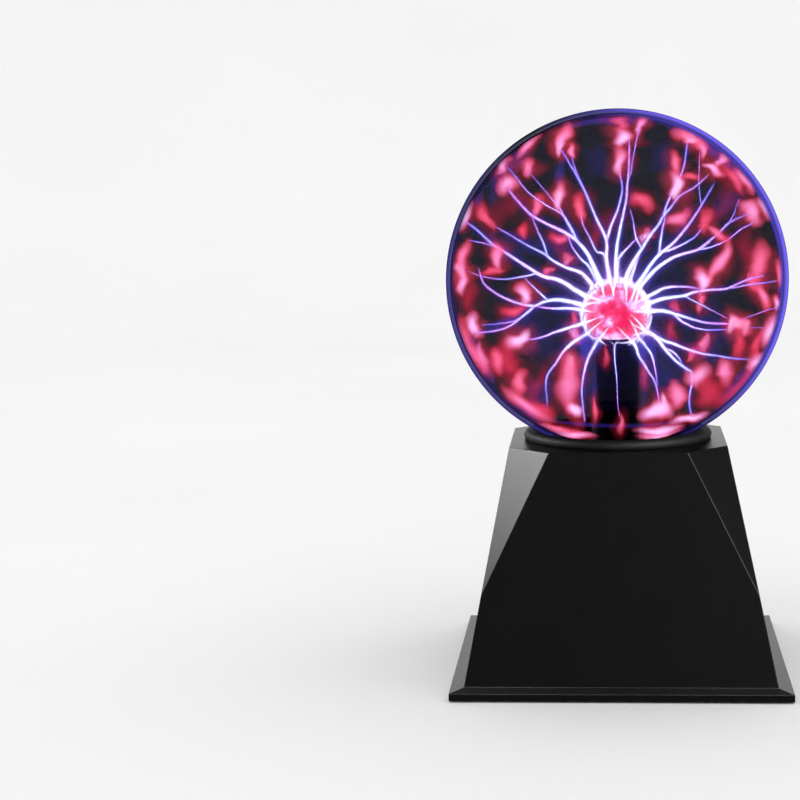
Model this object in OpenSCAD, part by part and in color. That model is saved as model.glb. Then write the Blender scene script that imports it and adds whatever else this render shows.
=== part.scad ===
// Plasma globe lamp: a sealed glass globe with a central electrode, standing on a faceted
// housing that holds the high-voltage driver. Millimetres, +Z up, the front faces -Y.
// Origin: centre of the footprint, on the surface that the feet stand on.

/* [Globe] */
// Outer radius of the glass globe
globe_r = 100; // [90:1:104]
// Height of the globe's centre above the desk
globe_z = 229; // [227:1:232]
// Thickness of the globe's glass
glass_t = 2.5; // [1.5:0.1:3]
// Outer radius of the globe's neck
neck_r = 44; // [43:0.5:44.5]

/* [Electrode] */
// Outer radius of the inner glass bulb
bulb_r = 21; // [18:0.5:23]
// Height of the bulb's centre above the desk
bulb_z = 209; // [207:0.5:212]
// Outer radius of the glass stem
stem_r = 15; // [14.5:0.5:16]
// Thickness of the stem's glass
stem_t = 1.8; // [1.5:0.1:2]

/* [Housing] */
// Width of the foot flange, square
foot_w = 192; // [186:1:200]
// Width of the pyramid at its bottom, square
base_w = 175.6; // [174:0.2:178]
// Width of the pyramid at its top
top_w = 125; // [122:1:128]
// Length cut from each side of the top at each corner
corner_cut = 23.4; // [20:0.2:26]
// Height of the pyramid's flat top
top_z = 136; // [136:0.5:136.5]
// Height at which the corner facets run out to a point
facet_z = 56.7; // [50:0.5:64]
// Wall thickness of the moulding
wall = 2.6; // [2.2:0.1:2.8]

/* [Switch] */
// Tilt of the rocker from its middle position
rocker_tilt = 11; // [8:0.5:12]
// Height of the switch and the power inlet on the rear face
rear_z = 32; // [31:0.5:34]

/* [Hidden] */
$fn = 72;

// Levels of the foot flange
skirt_bottom = 1;      // underside of the flange, above the desk
skirt_edge = 4.9;      // top of its upright edge
flange_top = 6.8;      // where its slope meets the pyramid
// The pyramid
base_h = base_w / 2;
top_h = top_w / 2;
slope = (base_h - top_h) / (top_z - flange_top);
lean = atan(slope);
wall_h = wall / cos(lean);
ceiling_z = top_z - 3;
// The bottom cover
cover_h = 89.6;
cover_bottom = 1.3;
cover_top = 3.8;
post_xy = 73;
// The globe's seat
seat_hole_r = 46.6;
rim_r = 46;
rim_bottom = 112;
flare_r = neck_r - glass_t;
lining_t = 1.5;
rim_top = 115;
clamp_t = 2.5;
clamp_boss_r = 57;
// The circuit board
board_z = 14;
board_t = 1.6;
board_top = board_z + board_t;
board_size = [116, 84];
board_mid = [0, -12];
transformer_at = [-24, -4];
// The rear face
switch_x = 24;
inlet_x = -24;
inlet_depth = 9.5;
mic_x = 0;
mic_z = 40;
pivot_depth = 1.5;
rocker_r = 8.6;
rocker_w = 10;

function four(x, y) = [[x, y], [-x, y], [-x, -y], [x, -y]];
function face_y(z) = base_h - slope * (z - flange_top);
// A point near the rear face: y down the slope, h outwards
function rear_point(x, y, h, z = rear_z) = [
    x,
    face_y(z) + h * cos(lean) + y * sin(lean),
    z + h * sin(lean) - y * cos(lean)
];
function corner_points(h, z) = [for (p = four(h, h)) [p[0], p[1], z]];
function octagon(h, cut) = [
    [h, h - cut], [h - cut, h], [cut - h, h], [-h, h - cut],
    [-h, cut - h], [cut - h, -h], [h - cut, -h], [h, cut - h]
];

// Points that the internal leads run through
header_x = [42, 30, 14, 2];
header_y = 26;
high_voltage_route = [[-41.4, -4, 37.6], [-46, -4, 38], [-50, -4, 44], [-49, -3, 54], [-40, -2, 66],
    [-26, -1, 75], [-12, 0, 80], [-3, 0, 84], [0, 0, 90], [0, 0, 99.7]];
switch_routes = [
    [rear_point(switch_x, 6, -23.3), rear_point(switch_x, 6, -27), [32, 50, 24], [42, 38, 32],
        [42, 28, 28], [42, 26, 18]],
    [rear_point(switch_x, -6, -23.3), rear_point(switch_x, -6, -27), [28, 48, 34], [31, 38, 34],
        [30, 28, 28], [30, 26, 18]]
];
inlet_routes = [
    [rear_point(inlet_x - 2.5, 0, -19.8), rear_point(inlet_x - 2.5, 0, -23), [-22, 46, 24],
        [-6, 40, 26], [10, 32, 28], [14, 26, 24], [14, 26, 18]],
    [rear_point(inlet_x + 2.5, 0, -19.8), rear_point(inlet_x + 2.5, 0, -23), [-10, 54, 22],
        [8, 54, 22], [20, 52, 25], rear_point(switch_x, 0, -27), rear_point(switch_x, 0, -23.3)]
];
mic_routes = [for (s = [-1, 1]) [
    rear_point(mic_x + s * 1.4, 0, -wall - 7.7, mic_z),
    rear_point(mic_x + s * 1.4, 0, -wall - 12, mic_z),
    [s * 1.4, 58, 36], [4 + s * 1.2, 46, 40], [5 + s * 1.2, 32, 34], [2 + s * 1.2, header_y, 26],
    [2 + s * 1.2, header_y, 18]]];

// Puts its children on the sloping rear face: +Z outwards and +Y down the slope.
module on_rear_face(x, z) {
    translate([x, face_y(z), z]) rotate([lean - 90, 0, 0]) children();
}

module at_four(x, y) {
    for (p = four(x, y)) translate([p[0], p[1], 0]) children();
}

module tube(outer, inner, z0, z1) {
    translate([0, 0, z0]) difference() {
        cylinder(r = outer, h = z1 - z0);
        translate([0, 0, -1]) cylinder(r = inner, h = z1 - z0 + 2);
    }
}

module rod(r, z0, z1) {
    translate([0, 0, z0]) cylinder(r = r, h = z1 - z0);
}

// A block from its middle in X and Y and its bottom in Z
module block(size, at = [0, 0, 0]) {
    translate([at[0] - size[0] / 2, at[1] - size[1] / 2, at[2]]) cube(size);
}

// A smooth tube along hand-placed points, by Catmull-Rom interpolation
function spline_point(p, i, t) =
    let (a = p[max(i - 1, 0)], b = p[i], c = p[i + 1], d = p[min(i + 2, len(p) - 1)])
    0.5 * (2 * b + (c - a) * t + (2 * a - 5 * b + 4 * c - d) * t * t
        + (3 * b - a - 3 * c + d) * t * t * t);
function spline(p, steps) = [
    for (i = [0 : len(p) - 2]) for (s = [0 : steps - 1]) spline_point(p, i, s / steps),
    p[len(p) - 1]
];
function unit(v) = v / norm(v);
function tangent(p, i) = unit(p[min(i + 1, len(p) - 1)] - p[max(i - 1, 0)]);
function side_of(t) = unit(cross(t, abs(t[0]) < 0.8 ? [1, 0, 0] : [0, 1, 0]));
// Carries the first side vector along the path without twist
function sides(p, i = 0, found = []) =
    i == len(p) ? found :
    let (t = tangent(p, i),
         s = i == 0 ? side_of(t) : unit(found[i - 1] - (found[i - 1] * t) * t))
    sides(p, i + 1, concat(found, [s]));
module lead(points, r, steps = 4, n = 8) {
    path = spline(points, steps);
    s = sides(path);
    rings = [for (i = [0 : len(path) - 1]) let (t = tangent(path, i), b = cross(t, s[i]))
        for (k = [0 : n - 1]) path[i] + r * (cos(360 * k / n) * s[i] + sin(360 * k / n) * b)];
    walls = [for (i = [0 : len(path) - 2]) for (k = [0 : n - 1])
        [i * n + k, i * n + (k + 1) % n, (i + 1) * n + (k + 1) % n, (i + 1) * n + k]];
    ends = [[for (k = [n - 1 : -1 : 0]) k],
            [for (k = [0 : n - 1]) (len(path) - 1) * n + k]];
    faces = [for (f = concat(walls, ends)) [for (k = [len(f) - 1 : -1 : 0]) f[k]]];
    polyhedron(points = rings, faces = faces);
}

// A pyramid with faceted corners, inset by g from the outer surface
module faceted_block(g, z_low, z_high) {
    low_h = face_y(z_low) - g;
    high_h = face_y(z_high) - g;
    shift = g * 0.55;
    tip_z = facet_z + shift;
    tip_h = face_y(tip_z) - g;
    cut = corner_cut * (z_high - tip_z) / (top_z - tip_z);
    hull() polyhedron(
        points = concat(
            corner_points(low_h, z_low),
            corner_points(tip_h, tip_z),
            [for (p = octagon(high_h, cut)) [p[0], p[1], z_high]]),
        faces = [[0, 1, 2], [3, 4, 5], [6, 7, 8], [9, 10, 11], [12, 13, 14], [15, 0, 3]]);
}

module skirt() {
    hull() {
        translate([-foot_w / 2, -foot_w / 2, skirt_bottom])
            cube([foot_w, foot_w, skirt_edge - skirt_bottom]);
        translate([-base_h, -base_h, skirt_bottom])
            cube([base_w, base_w, flange_top - skirt_bottom]);
    }
}

module post_and_ribs() {
    translate([post_xy, post_xy, 0]) {
        rod(4.5, cover_top + 0.1, 40);
        block([2, 30, 36], [0, 15, cover_top + 0.1]);
        block([30, 2, 36], [15, 0, cover_top + 0.1]);
    }
}

module housing() {
    color("#151515") difference() {
        union() {
            difference() {
                union() {
                    skirt();
                    faceted_block(0, flange_top - 1, top_z);
                }
                faceted_block(wall_h, 0, ceiling_z);
                translate([0, 0, cover_top + 0.1 - 10]) block([2 * cover_h + 0.6, 2 * cover_h + 0.6, 10]);
            }
            intersection() {
                faceted_block(1, 0, top_z - 1);
                for (mx = [0, 1], my = [0, 1]) mirror([mx, 0, 0]) mirror([0, my, 0]) post_and_ribs();
            }
            tube(51.5, 49.2, rim_top, ceiling_z + 1);
            for (a = [45 : 90 : 315]) rotate(a) translate([clamp_boss_r, 0, 0])
                rod(4, rim_bottom, ceiling_z + 1);
        }
        rod(seat_hole_r, ceiling_z - 5, top_z + 5);
        at_four(post_xy, post_xy) rod(1.25, 0, 22);
        for (a = [45 : 90 : 315]) rotate(a) translate([clamp_boss_r, 0, 0]) rod(1.2, 100, 128);
        on_rear_face(switch_x, rear_z) translate([0, 0, -10]) block([13.4, 19.6, 20]);
        on_rear_face(inlet_x, rear_z) rod(4.1, -10, 10);
        on_rear_face(mic_x, mic_z) rod(1.2, -10, 10);
        for (a = [0 : 60 : 300]) on_rear_face(mic_x, mic_z) rotate(a) translate([3, 0, 0])
            rod(0.6, -10, 10);
    }
}

module bottom_cover() {
    color("#1b1b1b") difference() {
        union() {
            translate([0, 0, cover_bottom]) block([2 * cover_h, 2 * cover_h, cover_top - cover_bottom]);
            translate([board_mid[0], board_mid[1], 0])
                at_four(board_size[0] / 2 - 6, board_size[1] / 2 - 6) rod(3.5, cover_top - 1, board_z);
        }
        at_four(post_xy, post_xy) {
            rod(1.8, 0, 10);
            rod(3.4, 0, cover_bottom + 1.4);
        }
        at_four(62, 62) rod(7.1, 0, cover_bottom + 0.8);
        for (i = [-3 : 3]) translate([0, i * 8, 0]) block([36, 3, 10]);
        translate([board_mid[0], board_mid[1], 0])
            at_four(board_size[0] / 2 - 6, board_size[1] / 2 - 6) rod(1.1, 6, 20);
    }
}

module cover_screws() {
    color("#3a3a3a") at_four(post_xy, post_xy) difference() {
        union() {
            rod(3.2, cover_bottom + 0.2, cover_bottom + 1.4);
            rod(1.2, cover_bottom + 1, 15);
        }
        for (a = [0, 90]) rotate(a) block([3.6, 0.7, 1], [0, 0, cover_bottom - 0.2]);
    }
}

module rubber_feet() {
    color("#222222") at_four(62, 62) union() {
        rod(7, 0.6, cover_bottom + 0.8);
        translate([0, 0, 0]) cylinder(r1 = 6.4, r2 = 7, h = 0.6);
    }
}

module rating_label() {
    color("#c9c9c9") translate([0, 44, cover_bottom - 0.2]) block([58, 24, 0.2]);
}

// A soft round ring that hides the gap between the globe and the housing
module collar_ring() {
    bead_r = 2.8;
    bead_at = [52.4, 2.2];
    color("#1c1c1c") translate([0, 0, top_z]) rotate_extrude() difference() {
        union() {
            translate(bead_at) circle(r = bead_r);
            translate([neck_r + 0.6, 0]) square([bead_at[0] - neck_r - 0.6, bead_at[1] + bead_r]);
        }
        translate([0, globe_z - top_z]) circle(r = globe_r, $fn = 180);
        translate([neck_r, -2]) square([20, 2]);
    }
}

module globe() {
    color([0.30, 0.26, 0.36, 0.35]) difference() {
        union() {
            translate([0, 0, globe_z]) sphere(r = globe_r);
            rod(neck_r, rim_bottom, globe_z - globe_r + 30);
            rod(rim_r, rim_bottom, rim_top);
        }
        translate([0, 0, globe_z]) sphere(r = globe_r - glass_t);
        rod(neck_r - glass_t, rim_bottom - 5, globe_z - globe_r + 30);
    }
}

// The re-entrant glass: a bulb on a tube whose foot flares out to the neck
module stem_hollow() {
    translate([0, 0, rim_bottom]) cylinder(r1 = flare_r - 2, r2 = stem_r - stem_t, h = 12);
}

module stem_and_bulb() {
    color([0.55, 0.50, 0.60, 0.35]) difference() {
        union() {
            translate([0, 0, bulb_z]) sphere(r = bulb_r);
            rod(stem_r, rim_bottom + 2, bulb_z);
            translate([0, 0, rim_bottom]) cylinder(r1 = flare_r, r2 = stem_r, h = 13);
        }
        translate([0, 0, bulb_z]) sphere(r = bulb_r - stem_t);
        rod(stem_r - stem_t, rim_bottom - 5, bulb_z);
        stem_hollow();
    }
}

// Where the globe was pumped out and sealed off
module exhaust_tip() {
    color([0.55, 0.50, 0.60, 0.5]) intersection() {
        translate([27, 0, 0]) union() {
            rod(3.2, 101, 120);
            translate([0, 0, 101]) sphere(r = 3.2);
        }
        union() {
            stem_hollow();
            rod(flare_r - 2, 90, rim_bottom);
        }
    }
}

// The conductive coat that the bulb is lined with
module electrode_lining() {
    outer = bulb_r - stem_t - 0.1;
    color("#e0405c") difference() {
        translate([0, 0, bulb_z]) sphere(r = outer);
        translate([0, 0, bulb_z]) sphere(r = outer - lining_t);
        rod(stem_r - stem_t, 100, bulb_z - 10);
    }
}

// A black corrugated sleeve that insulates the lead inside the stem
module stem_sleeve() {
    pitch = 2.5;
    ribs = 34;
    low = rim_bottom;
    crest_r = 12.9;
    root_r = 12.2;
    outline = [
        for (i = [0 : ribs - 1]) each [[root_r, low + i * pitch], [crest_r, low + (i + 0.3) * pitch],
            [crest_r, low + (i + 0.7) * pitch]],
        [root_r, low + ribs * pitch], [10, low + ribs * pitch], [10, low]];
    color("#0d0d10") rotate_extrude() polygon(outline);
}

module lead_bushing() {
    color("#5a2a22") tube(9.9, 1.6, 114, 124);
}

module lead_rod() {
    color("#b08a3e") rod(1.5, 100, bulb_z + bulb_r - stem_t - 0.2 - lining_t);
}

module lead_boot() {
    color("#7a2f24") difference() {
        union() {
            rod(4, 100, rim_bottom);
            rod(6, rim_bottom - clamp_t - 1.2, rim_bottom - clamp_t);
            translate([0, 0, 94]) cylinder(r1 = 3, r2 = 4, h = 6);
        }
        rod(1.55, 99.9, 120);
        rod(2.3, 90, 99.9);
    }
}

module neck_foam() {
    color("#2c2c2c") tube(49.1, neck_r + 0.1, rim_top, ceiling_z);
}

// Holds the globe's rim up against the foam, and the lead's boot on its hub
module clamp_ring() {
    under = rim_bottom - clamp_t;
    color("#202020") difference() {
        union() {
            tube(54, 40, under, rim_bottom);
            tube(14, 4.05, under, rim_bottom);
            for (a = [90, 210, 330]) rotate(a) block([30, 6, clamp_t], [27, 0, under]);
            for (a = [45 : 90 : 315]) rotate(a) {
                block([12, 12, clamp_t], [clamp_boss_r - 6, 0, under]);
                translate([clamp_boss_r, 0, 0]) rod(6, under, rim_bottom);
            }
        }
        for (a = [45 : 90 : 315]) rotate(a) translate([clamp_boss_r, 0, 0]) rod(1.7, 100, 115);
    }
}

module clamp_screws() {
    under = rim_bottom - clamp_t;
    color("#8a8a8a") for (a = [45 : 90 : 315]) rotate(a) translate([clamp_boss_r, 0, 0]) difference() {
        union() {
            rod(2.9, under - 1.8, under);
            rod(1.15, under - 0.5, 124);
        }
        block([4, 0.7, 1], [0, 0, under - 2.1]);
    }
}

module circuit_board() {
    color("#2f6b3a") translate([board_mid[0], board_mid[1], 0]) difference() {
        translate([0, 0, board_z]) block([board_size[0], board_size[1], board_t]);
        at_four(board_size[0] / 2 - 6, board_size[1] / 2 - 6) rod(1.6, 0, 30);
    }
}

module board_screws() {
    color("#9a9a9a") translate([board_mid[0], board_mid[1], 0])
        at_four(board_size[0] / 2 - 6, board_size[1] / 2 - 6) difference() {
            union() {
                rod(2.8, board_top, board_top + 1.8);
                rod(1.05, 8, board_top + 0.5);
            }
            block([4, 0.7, 2], [0, 0, board_top + 1]);
        }
}

// A closed ferrite frame whose left leg carries the winding
module transformer_core() {
    color("#3a3a3d") translate([transformer_at[0], transformer_at[1], board_top]) difference() {
        block([40, 12, 42], [14, 0, 0]);
        block([16, 20, 30], [14, 0, 6]);
    }
}

module transformer_winding() {
    color("#24211f") translate([transformer_at[0], transformer_at[1], board_top]) difference() {
        union() {
            rod(13.5, 7, 35);
            rod(15.5, 6.2, 8.5);
            rod(15.5, 33.5, 35.8);
            translate([-11, 0, 22]) rotate([0, -90, 0]) cylinder(r = 3, h = 6);
        }
        block([12.2, 12.2, 60], [0, 0, -5]);
    }
}

// A strap over the frame's right leg
module winding_clamp() {
    color("#c8c8c8") translate([transformer_at[0] + 30, transformer_at[1], board_top]) difference() {
        block([10, 15, 43.2]);
        block([12, 12.2, 43], [0, 0, -1]);
    }
}

// The lead from the winding up to the boot under the stem
module high_voltage_lead() {
    color("#a33a2a") lead(high_voltage_route, 2);
}

module heat_sink() {
    color("#b9bcc0") translate([38, -20, board_top]) {
        block([3, 34, 34], [0, 0, 0]);
        for (i = [-2 : 2]) block([10, 1.6, 34], [6.4, i * 7.6, 0]);
    }
}

module power_transistor() {
    color("#1a1a1a") translate([38, -20, board_top]) difference() {
        union() {
            block([4.4, 10, 9], [-3.7, 0, 9]);
            block([1.3, 10, 6.2], [-2.15, 0, 18]);
            for (y = [-2.54, 0, 2.54]) block([0.6, 0.9, 9.2], [-3.9, y, 0]);
        }
        translate([-5, 0, 21.2]) rotate([0, 90, 0]) cylinder(r = 1.8, h = 5);
    }
}

module transistor_screw() {
    color("#9a9a9a") translate([38, -20, board_top + 21.2]) rotate([0, -90, 0]) {
        rod(2.9, 2.8, 4.8);
        rod(1.4, 1.5, 3);
    }
}

module electrolytic_capacitors() {
    color("#1f2f4a") {
        translate([14, 14, 0]) rod(6.2, board_top, board_top + 21);
        translate([-12, 19, 0]) rod(4, board_top, board_top + 12);
        translate([16, -36, 0]) rod(5, board_top, board_top + 15);
    }
}

module film_capacitors() {
    color("#a8322a") {
        block([13, 6, 11], [-44, 14, board_top]);
        block([11, 5, 9], [-28, 22, board_top]);
    }
}

module ceramic_capacitors() {
    color("#c98a3a") for (x = [-40, -30, -20]) translate([x, -36, board_top + 4.6]) rotate([90, 0, 0])
        union() {
            cylinder(r = 2.8, h = 2.2, center = true);
            for (s = [-1.3, 1.3]) translate([s, 0, 0]) rotate([90, 0, 0]) cylinder(r = 0.3, h = 4.6);
        }
}

module resistors() {
    color("#c7a878") for (i = [0 : 5]) translate([-8 + i * 4, -46, board_top + 1.4]) rotate([90, 0, 0]) {
        cylinder(r = 1.2, h = 6.4, center = true);
        cylinder(r = 0.3, h = 10, center = true);
    }
}

module driver_chips() {
    color("#161616") {
        block([9.6, 6.4, 3.3], [2, -30, board_top + 0.6]);
        block([6.4, 19, 3.3], [22, -16, board_top + 0.6]);
    }
}

module gain_trimmer() {
    color("#2a5fa0") translate([28, 13, board_top]) difference() {
        union() {
            block([7, 7, 4]);
            rod(2.8, 0, 5.4);
        }
        block([3.6, 0.8, 2], [0, 0, 4.6]);
    }
}

module lead_headers() {
    color("#e8e4d8") for (x = header_x) translate([x, header_y, board_top]) difference() {
        block([8, 6, 7]);
        block([6.4, 4.4, 7], [0, 0, 2]);
    }
}

// Rear switch: a body that snaps into the wall, with a bezel outside it
module switch_body() {
    color("#101010") on_rear_face(switch_x, rear_z) difference() {
        union() {
            translate([0, 0, 0.05]) block([15.4, 21.6, 1.9]);
            translate([0, 0, -15]) block([13, 19.2, 15.2]);
            for (s = [-1, 1]) hull() {
                block([6, 0.4, 3.6], [0, s * 9.4, -6.4]);
                block([6, 1.2, 0.6], [0, s * 9.8, -3.6]);
            }
        }
        translate([0, 0, -12]) block([rocker_w + 0.8, 2 * rocker_r + 0.8, 20]);
        translate([-6, 0, -pivot_depth]) rotate([0, 90, 0]) cylinder(r = 1.3, h = 12);
    }
}

module switch_rocker() {
    color("#1a1a1a") on_rear_face(switch_x, rear_z) translate([0, 0, -pivot_depth])
        rotate([rocker_tilt, 0, 0]) {
            rotate([90, 0, 90]) translate([0, 0, -rocker_w / 2]) linear_extrude(rocker_w) intersection() {
                circle(r = rocker_r);
                polygon([[-9, 6.2], [0, 4.3], [9, 6.2], [9, -3.5], [2.5, -3.5], [1.5, -7.5],
                         [-1.5, -7.5], [-2.5, -3.5], [-9, -3.5]]);
            }
            rotate([0, 90, 0]) cylinder(r = 1.25, h = 11.8, center = true);
        }
}

module switch_terminals() {
    color("#c9b26a") on_rear_face(switch_x, rear_z) for (y = [-6, 0, 6])
        block([4.8, 0.8, 8], [0, y, -23]);
}

module switch_leads() {
    color("#8c1f1f") for (route = switch_routes) lead(route, 0.9, n = 6);
}

// Rear power inlet for a round 5.5 mm plug
module inlet_body() {
    color("#0f0f0f") on_rear_face(inlet_x, rear_z) difference() {
        union() {
            rod(5.6, 0.05, 1.8);
            rod(3.95, -11.5, 1);
            rod(3.4, -14.5, -11);
        }
        rod(2.8, -inlet_depth, 5);
        rod(1.5, -12.5, -inlet_depth + 1);
    }
}

module inlet_pin() {
    color("#d8d8d8") on_rear_face(inlet_x, rear_z) union() {
        rod(1.5, -12.4, -inlet_depth);
        rod(1.05, -inlet_depth, 0);
        sphere(r = 1.05);
    }
}

module inlet_nut() {
    color("#c4c4c4") on_rear_face(inlet_x, rear_z) difference() {
        translate([0, 0, -wall - 2.3]) cylinder(r = 6.2, h = 2.2, $fn = 6);
        rod(4, -wall - 4, 0);
    }
}

module inlet_terminals() {
    color("#c9b26a") on_rear_face(inlet_x, rear_z) for (x = [-2.5, 2.5])
        block([1.8, 0.6, 5], [x, 0, -19.5]);
}

module inlet_leads() {
    color("#1c1c1c") for (route = inlet_routes) lead(route, 0.9, n = 6);
}

// Listens for sound through the holes in the rear wall
module mic_capsule() {
    color("#b5b5b5") on_rear_face(mic_x, mic_z) rod(4.8, -wall - 7.5, -wall - 0.6);
}

module mic_grommet() {
    color("#1e1e1e") on_rear_face(mic_x, mic_z) tube(7, 4.9, -wall - 7, -wall - 0.05);
}

module mic_leads() {
    color("#d8d8d8") for (route = mic_routes) lead(route, 0.5, 3, 6);
}

housing();
bottom_cover();
cover_screws();
rubber_feet();
rating_label();
collar_ring();
globe();
stem_and_bulb();
exhaust_tip();
electrode_lining();
stem_sleeve();
lead_bushing();
lead_rod();
lead_boot();
neck_foam();
clamp_ring();
clamp_screws();
circuit_board();
board_screws();
transformer_core();
transformer_winding();
winding_clamp();
high_voltage_lead();
heat_sink();
power_transistor();
transistor_screw();
electrolytic_capacitors();
film_capacitors();
ceramic_capacitors();
resistors();
driver_chips();
gain_trimmer();
lead_headers();
switch_body();
switch_rocker();
switch_terminals();
switch_leads();
inlet_body();
inlet_pin();
inlet_nut();
inlet_terminals();
inlet_leads();
mic_capsule();
mic_grommet();
mic_leads();
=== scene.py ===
"""Looks of the plasma globe lamp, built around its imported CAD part. Metres, +Z up, the front faces -Y."""

import math

import bpy
import numpy as np
from mathutils import Matrix, Vector


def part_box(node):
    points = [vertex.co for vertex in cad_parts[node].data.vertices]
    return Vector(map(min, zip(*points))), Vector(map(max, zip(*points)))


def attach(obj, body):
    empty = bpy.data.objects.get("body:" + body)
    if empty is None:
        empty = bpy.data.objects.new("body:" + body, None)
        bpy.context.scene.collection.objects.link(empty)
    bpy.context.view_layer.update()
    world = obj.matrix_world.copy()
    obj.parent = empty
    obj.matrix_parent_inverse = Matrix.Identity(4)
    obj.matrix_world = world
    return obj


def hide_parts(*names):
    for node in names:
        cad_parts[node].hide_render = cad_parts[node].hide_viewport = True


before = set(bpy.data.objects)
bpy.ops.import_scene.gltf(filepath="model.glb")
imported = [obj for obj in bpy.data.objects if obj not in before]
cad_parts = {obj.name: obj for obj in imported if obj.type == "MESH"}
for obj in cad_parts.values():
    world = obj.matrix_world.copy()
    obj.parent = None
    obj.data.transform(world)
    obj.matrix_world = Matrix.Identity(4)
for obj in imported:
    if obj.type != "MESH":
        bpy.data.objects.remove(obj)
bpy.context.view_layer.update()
MM = 0.001
rng = np.random.default_rng(8)
TURNS = 6.3    # a full turn in radians, for random phases
ROUND = 8      # sides of every filament


# ---------------------------------------------------------------- sizes read from the CAD part

def box(node):
    """The low and high corners of a CAD node."""
    low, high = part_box(node)
    return np.array(low, float), np.array(high, float)


globe_low, globe_high = box("globe")
GLOBE_R = (globe_high[0] - globe_low[0]) / 2
GLOBE = np.array([0, 0, globe_high[2] - GLOBE_R])
GLASS_T = 2.5 * MM
GAS_R = GLOBE_R - GLASS_T
NECK_R = 44 * MM
RIM_R, RIM_LOW, RIM_HIGH = 46 * MM, globe_low[2], globe_low[2] + 3 * MM
BULB_R = 21 * MM
BULB = np.array([0, 0, box("stem_and_bulb")[1][2] - BULB_R])
STEM_R, STEM_T = 15 * MM, 1.8 * MM
SLEEVE_TOP = box("stem_sleeve")[1][2]


# ---------------------------------------------------------------- materials

def colour(code):
    """A linear colour from an sRGB hex code."""
    srgb = np.array([int(code[i:i + 2], 16) for i in (1, 3, 5)]) / 255
    linear = np.where(srgb <= 0.04045, srgb / 12.92, ((srgb + 0.055) / 1.055) ** 2.4)
    return (*linear.tolist(), 1.0)


def put(tree, kind, inputs=None, ramp=None, output=0, **settings):
    """Adds one shader node with its settings and links, and gives its output, the first unless it's
    named. An input that is given an output is linked, else it's set. A ramp is a list of places with
    a hex code or a number each."""
    node = tree.nodes.new("ShaderNode" + kind)
    for name, value in settings.items():
        setattr(node, name, value)
    for name, value in (inputs or {}).items():
        if isinstance(value, bpy.types.NodeSocket):
            tree.links.new(value, node.inputs[name])
        else:
            node.inputs[name].default_value = value
    if ramp:
        stops = node.color_ramp.elements
        while len(stops) < len(ramp):
            stops.new(0.5)
        for stop, (place, tint) in zip(stops, ramp):
            stop.position = place
            stop.color = colour(tint) if isinstance(tint, str) else (tint, tint, tint, 1)
    return node.outputs[output] if node.outputs else None


def per_mm(size):
    """The texture scale that gives features of this size in millimetres."""
    return 1 / (size * MM)


def new_material(name):
    """An empty material, its node tree, and the place on the object that its patterns follow."""
    made = bpy.data.materials.new(name)
    made.use_nodes = True
    made.node_tree.nodes.clear()
    return made, made.node_tree, put(made.node_tree, "TexCoord", output="Object")


def moulding(name, dark, light, rough, grain=0.35, depth=0.012, specular=0.5, edge=0.0, coat=0.0):
    """A moulded, cast or dipped skin: two near tones in slow clouds, a fine grain that roughens it,
    and edges rounded by the given radius in millimetres."""
    made, tree, place = new_material(name)
    fine = put(tree, "TexNoise", {"Vector": place, "Scale": per_mm(grain), "Detail": 3})
    clouds = put(tree, "TexNoise", {"Vector": place, "Scale": per_mm(22), "Detail": 3})
    bump = {"Height": fine, "Strength": 1.0, "Distance": depth * MM}
    if edge:
        bump["Normal"] = put(tree, "Bevel", {"Radius": edge * MM}, samples=6)
    skin = put(tree, "BsdfPrincipled", {
        "Base Color": put(tree, "ValToRGB", {"Fac": clouds}, ramp=[(0.3, dark), (0.7, light)]),
        "Roughness": put(tree, "ValToRGB", {"Fac": fine}, ramp=[(0.3, rough - 0.05), (0.7, rough + 0.07)]),
        "Specular IOR Level": specular, "Coat Weight": coat, "Normal": put(tree, "Bump", bump)})
    put(tree, "OutputMaterial", {"Surface": skin})
    return made


def drawn_metal(name, dark, light, rough, along=(1, 1, 12), grain=0.25):
    """Metal with fine lines left by drawing, rolling or plating, stretched along one direction."""
    made, tree, place = new_material(name)
    stretched = put(tree, "Mapping", {"Vector": place, "Scale": tuple(1 / a for a in along)})
    lines = put(tree, "TexNoise", {"Vector": stretched, "Scale": per_mm(grain), "Detail": 2})
    metal = put(tree, "BsdfPrincipled", {
        "Base Color": put(tree, "ValToRGB", {"Fac": lines}, ramp=[(0.3, dark), (0.7, light)]),
        "Roughness": put(tree, "ValToRGB", {"Fac": lines}, ramp=[(0.3, rough - 0.06), (0.7, rough + 0.08)]),
        "Metallic": 1.0, "Normal": put(tree, "Bump", {"Height": lines, "Distance": 0.004 * MM})})
    put(tree, "OutputMaterial", {"Surface": metal})
    return made


def banded(name, dark, light, rough, band, direction="Z"):
    """Turns of wire, moulded ribs or painted rings: narrow bands across one axis. A wave texture
    repeats every pi / 10 of its scaled length."""
    made, tree, place = new_material(name)
    height = put(tree, "TexWave", {"Vector": place, "Scale": math.pi / 10 * per_mm(band), "Distortion": 0.4},
                 output="Fac", bands_direction=direction)
    smears = put(tree, "TexNoise", {"Vector": place, "Scale": per_mm(1.5)})
    skin = put(tree, "BsdfPrincipled", {
        "Base Color": put(tree, "ValToRGB", {"Fac": height}, ramp=[(0.3, dark), (0.7, light)]),
        "Roughness": put(tree, "ValToRGB", {"Fac": smears}, ramp=[(0.3, rough - 0.05), (0.7, rough + 0.05)]),
        "Normal": put(tree, "Bump", {"Height": height, "Distance": 0.05 * MM})})
    put(tree, "OutputMaterial", {"Surface": skin})
    return made


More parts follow.
